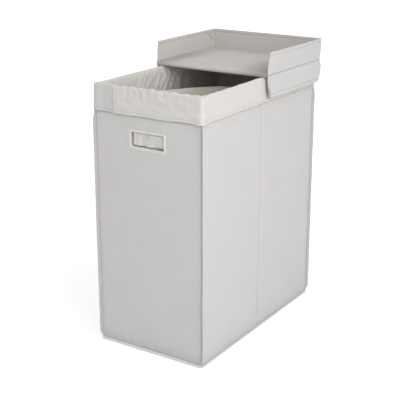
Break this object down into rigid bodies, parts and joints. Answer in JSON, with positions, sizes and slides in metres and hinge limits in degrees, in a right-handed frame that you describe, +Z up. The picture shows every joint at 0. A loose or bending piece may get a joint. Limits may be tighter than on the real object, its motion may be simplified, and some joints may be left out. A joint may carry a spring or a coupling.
{
  "type": "laundry hamper",
  "caption": "Upright fabric-covered laundry hamper with two bins, a lift-out divided cotton liner folded over the rim, hand slots, and a two-part folding lid.",
  "frame": {"origin": "on the floor, under the middle of the hamper's body", "axes": "+X along the width, to the right when looking from the front wall to the back wall; +Y along the length, from the front wall to the back wall; +Z up"},
  "size_m": [0.367, 0.6243, 0.807],
  "materials": {
    "outer_cloth": "matt light grey woven cloth, linen look",
    "lining": "matt light grey non-woven lining",
    "board": "raw grey-brown board",
    "liner_cotton": "matt off-white cotton, plain weave",
    "handle_plastic": "satin light grey moulded plastic"
  },
  "bodies": {
    "hamper": {"front_cover": "outer_cloth", "back_cover": "outer_cloth", "right_cover": "outer_cloth", "left_cover": "outer_cloth", "front_board": "board", "back_board": "board", "right_front_board": "board", "right_rear_board": "board", "left_front_board": "board", "left_rear_board": "board", "front_lining": "lining", "back_lining": "lining", "right_lining": "lining", "left_lining": "lining", "front_right_seam": "outer_cloth", "front_left_seam": "outer_cloth", "back_right_seam": "outer_cloth", "back_left_seam": "outer_cloth", "front_base_seam": "outer_cloth", "back_base_seam": "outer_cloth", "right_base_seam": "outer_cloth", "left_base_seam": "outer_cloth", "base_cloth": "outer_cloth", "front_handle_frame": "handle_plastic", "front_handle_backing": "handle_plastic", "back_handle_frame": "handle_plastic", "back_handle_backing": "handle_plastic"},
    "base_board": {"base_board": "board"},
    "liner": {"liner_front_panel": "liner_cotton", "liner_back_panel": "liner_cotton", "liner_right_panel": "liner_cotton", "liner_left_panel": "liner_cotton", "liner_front_cuff": "liner_cotton", "liner_back_cuff": "liner_cotton", "liner_right_cuff": "liner_cotton", "liner_left_cuff": "liner_cotton", "liner_base": "liner_cotton", "liner_divider": "liner_cotton"},
    "lid_fold": {"lid_fold_strip": "outer_cloth"},
    "rear_lid": {"rear_lid_cover": "outer_cloth", "rear_lid_board": "board", "rear_lid_lining": "lining", "rear_lid_right_skirt": "outer_cloth", "rear_lid_left_skirt": "outer_cloth", "rear_lid_end_skirt": "outer_cloth", "rear_lid_right_stiffener": "board", "rear_lid_left_stiffener": "board", "rear_lid_end_stiffener": "board"},
    "front_lid": {"front_lid_cover": "outer_cloth", "front_lid_board": "board", "front_lid_lining": "lining", "front_lid_right_skirt": "outer_cloth", "front_lid_left_skirt": "outer_cloth", "front_lid_end_skirt": "outer_cloth", "front_lid_right_stiffener": "board", "front_lid_left_stiffener": "board", "front_lid_end_stiffener": "board"}
  },
  "joints": [
    {"name": "base_board_lift", "type": "slide", "parent": "hamper", "child": "base_board", "axis": [0, 0, 1], "range_m": [0, 0.76]},
    {"name": "liner_lift", "type": "slide", "parent": "base_board", "child": "liner", "axis": [0, 0, 1], "range_m": [0, 0.76]},
    {"name": "lid_lift", "type": "slide", "parent": "liner", "child": "lid_fold", "axis": [0, 0, 1], "range_m": [0, 0.12]},
    {"name": "rear_lid_fold", "type": "hinge", "parent": "lid_fold", "child": "rear_lid", "pos_m": [0, 0, 0.74505], "axis": [1, 0, 0], "range_deg": [0, 179.9]},
    {"name": "front_lid_fold", "type": "hinge", "parent": "rear_lid", "child": "front_lid", "pos_m": [0, 0, 0.74505], "axis": [1, 0, 0], "range_deg": [0, 179.9]}
  ]
}
